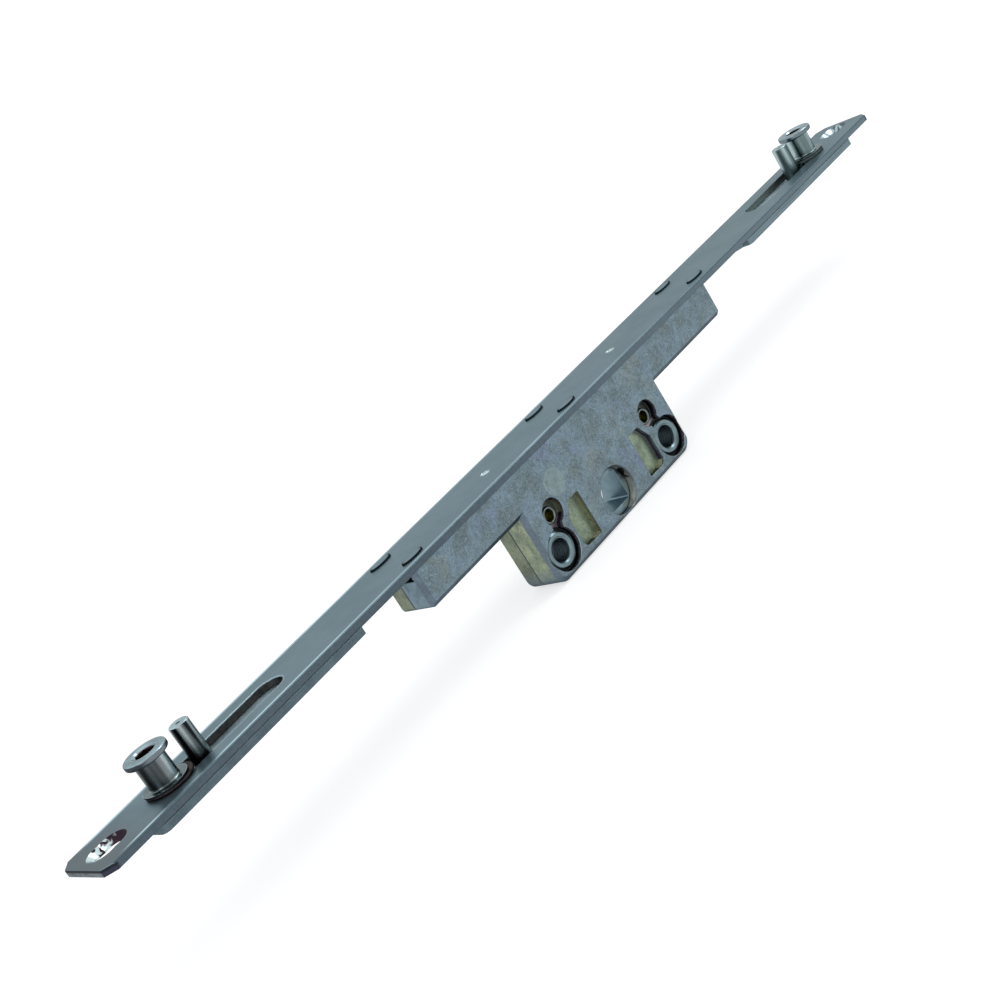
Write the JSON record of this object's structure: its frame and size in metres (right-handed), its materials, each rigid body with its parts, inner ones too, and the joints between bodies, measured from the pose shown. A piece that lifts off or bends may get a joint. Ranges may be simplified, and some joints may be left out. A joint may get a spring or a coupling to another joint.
{
  "type": "window espagnolette",
  "caption": "Mortice window espagnolette: a square spindle in the gearbox slides drive bars with mushroom cams along a steel faceplate",
  "frame": {"origin": "on the handle spindle's axis, at mid thickness of the gearbox", "axes": "+X along the faceplate towards the far end, +Z out of the faceplate's front, the way the cams stand, and -Y towards the handle side of the gearbox"},
  "size_m": [0.28, 0.016, 0.0351],
  "materials": {
    "faceplate_steel": "rolled steel strip, zinc plated, clear passivated",
    "case_zinc_front": "die-cast zinc, mottled passivation",
    "case_zinc_back": "die-cast zinc, mottled passivation",
    "rivet_steel": "zinc-plated steel",
    "bush_steel": "turned steel, zinc plated",
    "follower_steel": "sintered steel, zinc plated",
    "mechanism_steel": "plain steel, greased",
    "drive_bar_steel": "rolled steel strip, zinc plated",
    "cam_steel": "turned steel, bright nickel plated",
    "pin_steel": "turned steel, zinc plated",
    "washer_steel": "blackened steel washer"
  },
  "bodies": {
    "gearbox": {"faceplate": "faceplate_steel", "case_front": "case_zinc_front", "case_back": "case_zinc_back", "case_rivets": "rivet_steel", "near_handle_bush": "bush_steel", "far_handle_bush": "bush_steel", "pinion_axle": "mechanism_steel", "rack_guide_pins": "mechanism_steel"},
    "hub": {"follower": "follower_steel"},
    "pinion": {"reversing_pinion": "mechanism_steel"},
    "near_slide": {"near_drive_bar": "drive_bar_steel", "near_rack": "mechanism_steel", "near_guide_pin": "pin_steel", "near_cam_washer": "washer_steel"},
    "far_slide": {"far_drive_bar": "drive_bar_steel", "far_rack": "mechanism_steel", "far_guide_pin": "pin_steel", "far_cam_washer": "washer_steel"},
    "near_mushroom": {"near_cam": "cam_steel"},
    "far_mushroom": {"far_cam": "cam_steel"}
  },
  "joints": [
    {"name": "spindle_turn", "type": "hinge", "parent": "gearbox", "child": "hub", "pos_m": [0, 0, 0], "axis": [0, 1, 0], "range_deg": [0, 90]},
    {"name": "pinion_turn", "type": "hinge", "parent": "gearbox", "child": "pinion", "pos_m": [0, 0, 0.01295], "axis": [0, -1, 0], "range_deg": [0, 280.5]},
    {"name": "near_bar_slide", "type": "slide", "parent": "gearbox", "child": "near_slide", "axis": [1, 0, 0], "range_m": [0, 0.0154]},
    {"name": "far_bar_slide", "type": "slide", "parent": "gearbox", "child": "far_slide", "axis": [-1, 0, 0], "range_m": [0, 0.0154]},
    {"name": "near_cam_turn", "type": "hinge", "parent": "near_slide", "child": "near_mushroom", "pos_m": [-0.1186, 0, 0.022], "axis": [0, 0, 1], "range_deg": [-90, 90]},
    {"name": "far_cam_turn", "type": "hinge", "parent": "far_slide", "child": "far_mushroom", "pos_m": [0.1186, 0, 0.022], "axis": [0, 0, 1], "range_deg": [-90, 90]}
  ],
  "couplings": [
    {"joint": "pinion_turn", "follows": "spindle_turn", "ratio": 3.1111},
    {"joint": "near_bar_slide", "follows": "spindle_turn", "m_per_rad": 0.0098},
    {"joint": "far_bar_slide", "follows": "spindle_turn", "m_per_rad": 0.0098}
  ]
}
